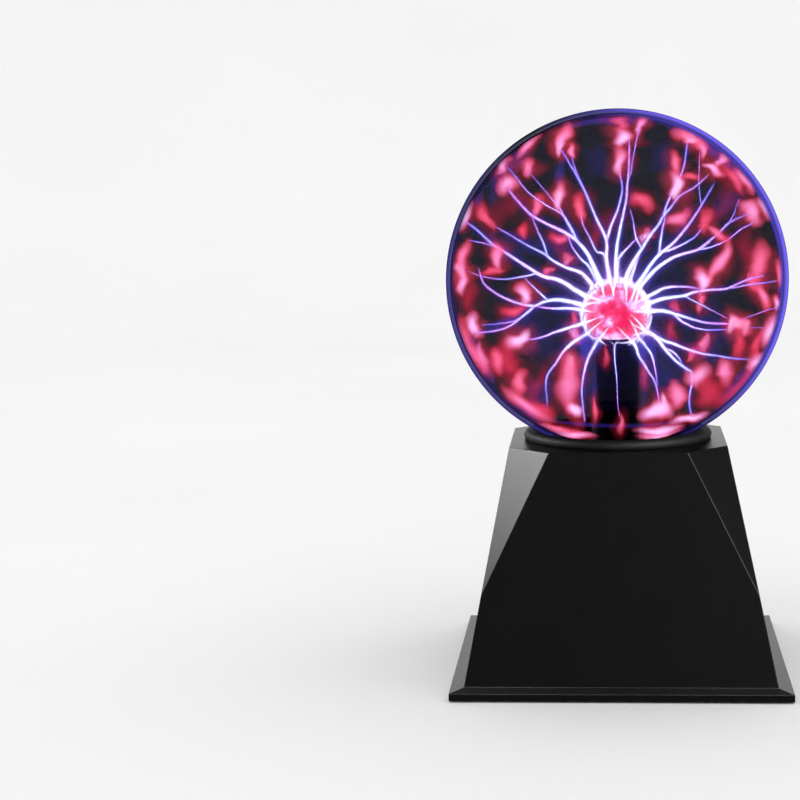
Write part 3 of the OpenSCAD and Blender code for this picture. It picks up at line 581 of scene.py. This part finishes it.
# Violet and indigo haze: spots, width, depth, strength
HAZE = [
    ([(-32, -50), (-10, -72)], 30, -0.9, 0.10), ([(-50, -56), (-40, -78)], 24, -0.8, 0.12),
    ([(20, -38), (34, -76)], 26, -0.9, 0.10), ([(-66, -16), (-34, -46)], 28, -0.9, 0.08),
    ([(46, -14), (74, -38)], 28, -0.9, 0.08), ([(42, -34), (64, -54)], 22, -0.9, 0.09),
    ([(-16, 8), (-50, 30)], 16, -0.9, 0.10), ([(-76, 42), (-66, 64), (-48, 80)], 13, -0.5, 0.16),
    ([(-80, 28), (-54, 10)], 18, -0.8, 0.10), ([(26, 12), (50, 46)], 14, -0.9, 0.09),
    ([(56, 34), (76, 56)], 16, -0.8, 0.10), ([(-40, 90), (-10, 95.5), (30, 92)], 10, 0.1, 0.30),
    ([(22, 94), (55, 79), (80, 54)], 9, 0.0, 0.35), ([(-18, -26), (-17, -35), (-21, -50)], 12, 0.4, 0.5),
    ([(-11, -28), (-11.5, -44)], 7, 0.3, 0.4), ([(14.5, -28), (15.5, -40), (18.5, -52)], 8, 0.4, 0.45),
    ([(19, -30), (23, -48)], 8, 0.3, 0.4), ([(-12.3, -44), (-12.3, -78)], 3.5, 0.5, 0.14),
    ([(16.5, -50), (16.5, -78)], 3, 0.5, 0.14), ([(-32.5, 73), (-33, 52)], 7, -0.5, 0.22),
    ([(-54, -22), (-80, -29)], 8, 0.2, 0.28), ([(96, 20), (98, 0), (95, -24)], 5, 0.0, 0.35),
    ([(-72, 70), (-52, 84)], 16, 0.2, 0.30), ([(-88, 42), (-78, 60)], 13, 0.3, 0.25),
    ([(84, 62), (95, 36)], 12, 0.2, 0.35), ([(-90, -28), (-72, -66)], 13, 0.1, 0.30),
    ([(-66, -70), (-42, -86)], 12, 0.3, 0.30), ([(-70, 28), (-40, 16)], 12, -0.7, 0.12),
    ([(60, -72), (84, -48)], 10, 0.1, 0.25), ([(-20, 78), (0, 60)], 18, -0.9, 0.07),
    ([(20, 62), (34, 82)], 16, -0.9, 0.08),
    ([(-53, -79), (-30, -84), (0, -85.5), (30, -84), (59, -78)], 3, 0.8, 0.25),
]


def from_bulb(spots):
    """The stem stands on the globe's axis, 3.5 mm left of the middle of these paths: spots near the
    bulb slide left by that much, and less with their distance from it."""
    spots = np.array(spots, float)
    distance = np.linalg.norm(spots - (3.5, -20.3), axis=1)
    spots[:, 0] -= 3.5 * np.exp(-((np.maximum(distance - 20, 0) / 35) ** 2))
    return spots


def follow(start, spots, depth_from, depth_to):
    """A path from a point through spots, its depth changing evenly along it."""
    gaps = np.linalg.norm(np.diff(spots, axis=0), axis=1)
    even = np.concatenate([[0.12], 0.12 + 0.88 * np.cumsum(gaps) / max(gaps.sum(), 1e-9)])
    points = in_globe(spots, depth_from + (depth_to - depth_from) * even)
    return smooth(np.concatenate([[start], points]))


def grow_discharge():
    """Every filament with its forks and creeping roots, then the flames and the haze. A fork leaves
    its filament at the point nearest the fork's first sight line."""
    for thick, depth, end, spots, forks in FILAMENTS:
        spots = from_bulb(spots)
        first = in_globe(spots[:1], 0.12 * depth)[0]
        start = BULB + unit(first - BULB) * (BULB_R + 0.1 * MM)
        path = follow(start, spots, 0.02 * depth, depth)
        path = path + waves(len(path), 0.35 * MM)
        add_filament(path, thick, end=end)
        add_roots(start, thick)
        for fork_thick, fork_depth, fork_end, fork_spots in forks:
            fork_spots = from_bulb(fork_spots)
            middle = in_globe(fork_spots[:1], 0)[0]
            at = int(np.argmax(unit(path - SIGHT) @ unit(middle - SIGHT)))
            reach = np.linalg.norm(in_globe(fork_spots[:1], 1)[0] - middle)
            branch = follow(path[at], fork_spots[1:], (middle - path[at]) @ AHEAD / reach, fork_depth)
            branch = branch + waves(len(branch), 0.3 * MM)
            add_filament(branch, fork_thick, run_from=at / len(path), end=fork_end, rooted=False)
    for spot, long, wide, lean, heat, depth, bright in FLAMES:
        add_drop(np.array(spot, float), long, wide, lean, heat, depth, bright)
    for spots, width, heat, depth, bright in STREAKS:
        add_flame(spots, width * 1.3, heat, depth, bright)
        add_flame(spots, width * 2.4, heat * 0.5, depth, 0.30 * bright)
    for spots, width, depth, bright in HAZE:
        add_flame(spots, width, 0.5, depth, bright, heap=hazes, sink=2.5)


def add_roots(start, thick):
    """White roots that creep over the bulb from where a filament leaves it: arcs of great circles,
    tapering to nothing. The first and longest runs towards the front."""
    out = unit(start - BULB)
    front = unit(-AHEAD - out * (out @ -AHEAD))
    for k in range(4):
        angle = (0, 0.9, 2.6, 4.6)[k] + rng.uniform(-0.4, 0.4)
        heading = front * math.cos(angle) + np.cross(out, front) * math.sin(angle)
        swing = np.linspace(0, rng.uniform(0.55, 0.85) if k == 0 else rng.uniform(0.2, 0.5), 12)[:, None]
        path = BULB + (out * np.cos(swing) + heading * np.sin(swing)) * (BULB_R + 0.5 * MM)
        taper = np.linspace(1, 0.15, 12)
        for wide, cover in ((0.30, 0.9), (0.6, 0.35), (1.1, 0.15)):
            cores.add(*tube(path, thick * wide * taper * MM), np.repeat(0.25 * (1 - taper), ROUND),
                      np.full(len(taper) * ROUND, 0.9), np.repeat(cover * taper ** 0.6, ROUND))


def add_shell(radius, cover):
    """A sphere of haze round the bulb, by latitude and longitude, its poles closed to a point."""
    points, quads = turned(arc((0, BULB[2]), radius, 90, -90, 32), 64)
    hazes.add(points, quads, *(np.full(len(points), value) for value in (0.1, 0.1, cover)))


# ---------------------------------------------------------------- dress the CAD nodes

MATERIALS = {
    # satin ABS moulding, near black, with the grain of its tool, drawn coarser than its 0.3 mm to show
    "housing": moulding("moulded_black_abs", "#060606", "#090909", 0.34, 0.9, 0.022, specular=0.14, edge=0.8),
    # the same plastic, duller, on the underside
    "bottom_cover": moulding("cover_black_abs", "#0c0c0d", "#111112", 0.55, 0.5, 0.02, edge=0.3),
    # blackened screws
    "cover_screws": drawn_metal("blackened_steel", "#1a1a1b", "#2a2a2c", 0.40),
    # soft, dusty rubber
    "rubber_feet": moulding("foot_rubber", "#141414", "#1c1c1c", 0.85, 0.4, 0.03, edge=0.3),
    # blank foil label, faintly brushed
    "rating_label": drawn_metal("blank_label", "#8d8f92", "#a5a7aa", 0.45, along=(20, 1, 1)),
    # soft vinyl with a low sheen
    "collar_ring": moulding("collar_vinyl", "#0f0f10", "#161617", 0.66, 0.6, 0.02, specular=0.22),
    # the lining emits a painted red-pink glow for the discharge that covers it
    "electrode_lining": painted_glow_coat("electrode_coating"),
    # corrugated insulation, black
    "stem_sleeve": moulding("sleeve_black_plastic", "#040405", "#0a0a0d", 0.35, 0.8, 0.01),
    # the pip of melted glass that closes the globe, with a faint painted violet glow at its edge, even all
    # round
    "exhaust_tip": glass_with_painted_glow("sealed_tip_glass_painted_glow", "#b0b0b8", "#404048", "#5040c0", 0.2,
                                [(0.5, 0.0), (0.9, 1.0)], ((0, 0, 0), (0, 0, 0), 100),
                                [(0.0, 1.0), (1.0, 1.0)], 0.06),
    # silicone rubber, brick red
    "lead_bushing": moulding("red_silicone", "#5a1d14", "#70271b", 0.55, 0.5, 0.01),
    # drawn brass
    "lead_rod": drawn_metal("brass_rod", "#a07a30", "#c09a4a", 0.30),
    # closed-cell foam with fine pores
    "neck_foam": moulding("grey_foam", "#26262a", "#35353a", 0.90, 0.9, 0.25),
    # zinc-plated screws
    "clamp_screws": drawn_metal("zinc_screws", "#9a9ea2", "#c2c6ca", 0.32),
    "circuit_board": printed_board("board_laminate"),
    # sintered ferrite, dull dark grey
    "transformer_core": moulding("ferrite", "#26262a", "#303036", 0.60, 0.25, 0.02, edge=0.4),
    # enamelled wire under varnish
    "transformer_winding": banded("varnished_winding", "#2a0f06", "#5c2a12", 0.30, 0.6),
    "winding_clamp": drawn_metal("zinc_strap", "#a8abae", "#c8cbce", 0.35, along=(1, 20, 1)),
    # extruded aluminium, drawn lines along the fins
    "heat_sink": drawn_metal("heat_sink_aluminium", "#9a9da0", "#bcbfc2", 0.40, along=(1, 1, 20)),
    "power_transistor": moulding("transistor_package", "#0c0c0c", "#141414", 0.50, 0.2, 0.01),
    # shrink sleeve over an aluminium can
    "electrolytic_capacitors": moulding("capacitor_sleeve", "#0c1424", "#142038", 0.28, 2.5, 0.01, coat=0.3),
    "film_capacitors": moulding("film_capacitor_resin", "#7c1810", "#9a2418", 0.25, 1.2, 0.02,
                                coat=0.4, edge=0.6),
    "ceramic_capacitors": moulding("ceramic_disc", "#a05c20", "#b87030", 0.40, 0.8, 0.02),
    # lacquered bodies with colour bands left plain
    "resistors": banded("resistor_body", "#a88a5c", "#c8ac7c", 0.40, 2.0, "Y"),
    "driver_chips": moulding("chip_epoxy", "#0c0c0d", "#121214", 0.60, 0.15, 0.01, edge=0.2),
    "gain_trimmer": moulding("trimmer_blue", "#102a68", "#183a86", 0.40, 0.4, 0.01, edge=0.2),
    "lead_headers": moulding("header_nylon", "#d8d2c0", "#e6e0d0", 0.50, 0.4, 0.01, edge=0.2),
    "switch_body": moulding("switch_black_plastic", "#090909", "#0d0d0e", 0.30, 0.5, 0.006, edge=0.3),
    "switch_rocker": moulding("rocker_black_plastic", "#0b0b0c", "#101011", 0.22, 0.6, 0.006, edge=0.4),
    "switch_terminals": drawn_metal("tinned_brass", "#b4a070", "#ccbc90", 0.35),
    "switch_leads": moulding("lead_red_pvc", "#6a0c0c", "#861414", 0.40, 1.0, 0.01),
    "inlet_body": moulding("inlet_black_plastic", "#090909", "#0f0f10", 0.45, 0.4, 0.01, edge=0.2),
    "inlet_pin": drawn_metal("nickel_pin", "#b8b4ac", "#d8d4cc", 0.18),
    "inlet_leads": moulding("lead_black_pvc", "#0c0c0c", "#161616", 0.40, 1.0, 0.01),
    "mic_capsule": drawn_metal("capsule_aluminium", "#a0a2a4", "#bec0c2", 0.35),
    "mic_leads": moulding("lead_white_pvc", "#b8b8b6", "#d0d0ce", 0.40, 1.0, 0.01),
}
# nodes that are made of the same stuff as another
SHARED = {"clamp_ring": "bottom_cover", "mic_grommet": "rubber_feet", "lead_boot": "lead_bushing",
          "high_voltage_lead": "lead_bushing", "board_screws": "clamp_screws",
          "transistor_screw": "clamp_screws", "inlet_terminals": "switch_terminals", "inlet_nut": "inlet_pin"}
for node in (*MATERIALS, *SHARED):
    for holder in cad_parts[node].material_slots:
        holder.material = MATERIALS[SHARED.get(node, node)]


# ---------------------------------------------------------------- build the looks

def keep(piece, node=None, body="lamp"):
    """Fastens a piece to its body, and hides the CAD node that it stands for."""
    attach(piece, body)
    if node:
        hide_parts(node)


# thin smoke-tinted soda glass, with a painted violet glow in it that is strongest at the upper right
SLANT = 0.38
across_globe = ((0, SLANT, 0), (0.5 - GLOBE[2] * math.sin(SLANT) * per_mm(200), 0, 0), 200)
smoked = glass_with_painted_glow("tinted_globe_glass", "#a2a3ab", "#1a1626", "#7060f0", 1.3,
                      [(0.76, 0.0), (0.86, 1.0), (0.92, 0.6), (0.97, 0.0)], across_globe,
                      [(0.0, 0.24), (0.22, 0.10), (0.45, 0.01), (0.62, 0.18), (0.85, 1.0)], 0.010)
keep(globe_glass(smoked), "globe")
# clear stem glass with a painted pink-white glow, strongest towards the bulb, in place of the light of the
# discharge that covers the bulb
up_stem = ((0, math.pi / 2, 0), (-(SLEEVE_TOP - 14 * MM) * per_mm(24), 0, 0), 24)
clear = glass_with_painted_glow("stem_glass", "#eae6f4", "#a8a0d0", "#ffe2f2", 8.0,
                     [(0.08, 0.0), (0.35, 0.07), (0.55, 0.18), (0.70, 0.45), (0.84, 1.0), (1.0, 1.0)],
                     up_stem, [(0.0, 0.015), (0.45, 0.05), (0.85, 1.0)], 0.02)
keep(stem_glass(clear), "stem_and_bulb")

for above, cover in ((1.0, 0.03), (3.0, 0.012), (8.0, 0.008), (14.0, 0.007), (24.0, 0.007), (36.0, 0.006)):
    add_shell(BULB_R + above * MM, cover)
grow_discharge()
CORE_COOL = [(0.0, "#ffffff"), (0.3, "#eef2ff"), (0.6, "#c6c4ff"), (0.85, "#968cf0"), (1.0, "#7468d0")]
CORE_WARM = [(0.0, "#fff6ff"), (0.3, "#ffe6ff"), (0.6, "#eec0fa"), (0.85, "#dc94e4"), (1.0, "#f088c8")]
GLOW_COOL = [(0.0, "#9890f4"), (0.3, "#6460e8"), (0.7, "#4038c0"), (1.0, "#382ca0")]
GLOW_WARM = [(0.0, "#f0a8f0"), (0.3, "#9858d8"), (0.7, "#6c34b0"), (1.0, "#a03090")]
HAZE_COOL = [(0.0, "#4a48d8"), (0.5, "#5048cc"), (1.0, "#4428a0")]
HAZE_WARM = [(0.0, "#c078e0"), (0.5, "#5c48cc"), (1.0, "#702898")]
HEAT = [(0.0, "#781028"), (0.30, "#c0243c"), (0.50, "#f04458"), (0.70, "#ff6888"), (0.86, "#ff90be"),
        (1.0, "#ffc4e8")]
gas = [
    cores.piece("filament_cores", lit_gas("gas_core", CORE_COOL, CORE_WARM, 13.0)),
    glows.piece("filament_glow", lit_gas("gas_glow", GLOW_COOL, GLOW_WARM, 9.0)),
    flames.piece("glass_flames", lit_gas("gas_flame", HEAT, HEAT, 9.0)),
    hazes.piece("violet_haze", lit_gas("gas_haze", HAZE_COOL, HAZE_WARM, 8.0)),
]
for piece in gas:
    keep(piece)
    piece.visible_diffuse = False
    piece.visible_glossy = False
    piece.visible_shadow = False


# ---------------------------------------------------------------- studio

def studio():
    """A pale seamless floor that curves up all round, a soft sky, and four soft boxes that only show
    as reflections in the base. The sky is dimmer in reflections, as if it were flagged off."""
    flat = [[0.0, 0.0], [0.4, 0.0], [0.8, 0.0], [1.4, 0.0]]
    outline = np.concatenate([flat, arc((1.9, 1.2), 1.2, -90, -2, 24), [[3.1, 2.6]]])
    made, tree, place = new_material("studio_paper")
    pulp = put(tree, "TexNoise", {"Vector": place, "Scale": per_mm(400)})
    paper = put(tree, "BsdfPrincipled", {
        "Base Color": put(tree, "ValToRGB", {"Fac": pulp}, ramp=[(0.3, "#f6f6f6"), (0.7, "#f9f9f9")]),
        "Roughness": 0.9, "Specular IOR Level": 0.1})
    put(tree, "OutputMaterial", {"Surface": paper})
    floor = add_mesh("studio_floor", *turned(outline, 96), made)
    floor.visible_glossy = False

    world = bpy.data.worlds.new("soft_sky")
    world.use_nodes = True
    bpy.context.scene.world = world
    tree = world.node_tree
    tree.nodes.clear()
    reflected = put(tree, "LightPath", output="Is Glossy Ray")
    open_sky, flagged = (put(tree, "Background", {"Color": (1, 1, 1, 1), "Strength": strength})
                         for strength in (1.13, 0.29))
    put(tree, "OutputWorld", {"Surface": put(tree, "MixShader", {0: reflected, 1: open_sky, 2: flagged})})

    seen_in = bpy.data.collections.new("lit_by_soft_boxes")
    for node in ("housing", "bottom_cover", "collar_ring", "rubber_feet"):
        seen_in.objects.link(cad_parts[node])

    def soft_box(name, spot, size, power):
        """A rectangular light that faces the base."""
        lamp = bpy.data.lights.new(name, "AREA")
        lamp.shape, lamp.size, lamp.size_y, lamp.energy = "RECTANGLE", size[0], size[1], power
        holder = bpy.data.objects.new(name, lamp)
        holder.location = spot
        holder.rotation_euler = (Vector((0, 0, 0.12)) - Vector(spot)).to_track_quat("-Z", "Y").to_euler()
        holder.visible_camera = holder.visible_diffuse = False
        bpy.context.scene.collection.objects.link(holder)
        holder.light_linking.receiver_collection = seen_in

    soft_box("left_soft_box", (-1.25, 0.16, 1.02), (0.8, 0.6), 66)
    soft_box("right_edge_strip", (0.85, -0.85, 0.75), (0.12, 0.8), 50)
    soft_box("top_strip", (0, -0.15, 1.6), (1.0, 0.25), 50)
    soft_box("rear_strip", (-0.1, 1.6, 0.36), (2.2, 0.4), 5)


def camera():
    """Where the lamp is seen from: a little above it and turned to its left."""
    axes = Matrix((RIGHT, UP, -AHEAD)).transposed()
    lens = bpy.data.cameras.new("camera")
    lens.lens, lens.sensor_width = 94.84, 36
    holder = bpy.data.objects.new("camera", lens)
    holder.matrix_world = Matrix.Translation(SIGHT) @ axes.to_4x4()
    bpy.context.scene.collection.objects.link(holder)
    bpy.context.scene.camera = holder


studio()
camera()
scene = bpy.context.scene
scene.view_settings.view_transform = "Standard"
scene.cycles.transparent_max_bounces = 160
scene.cycles.max_bounces = 6

bpy.context.view_layer.update()
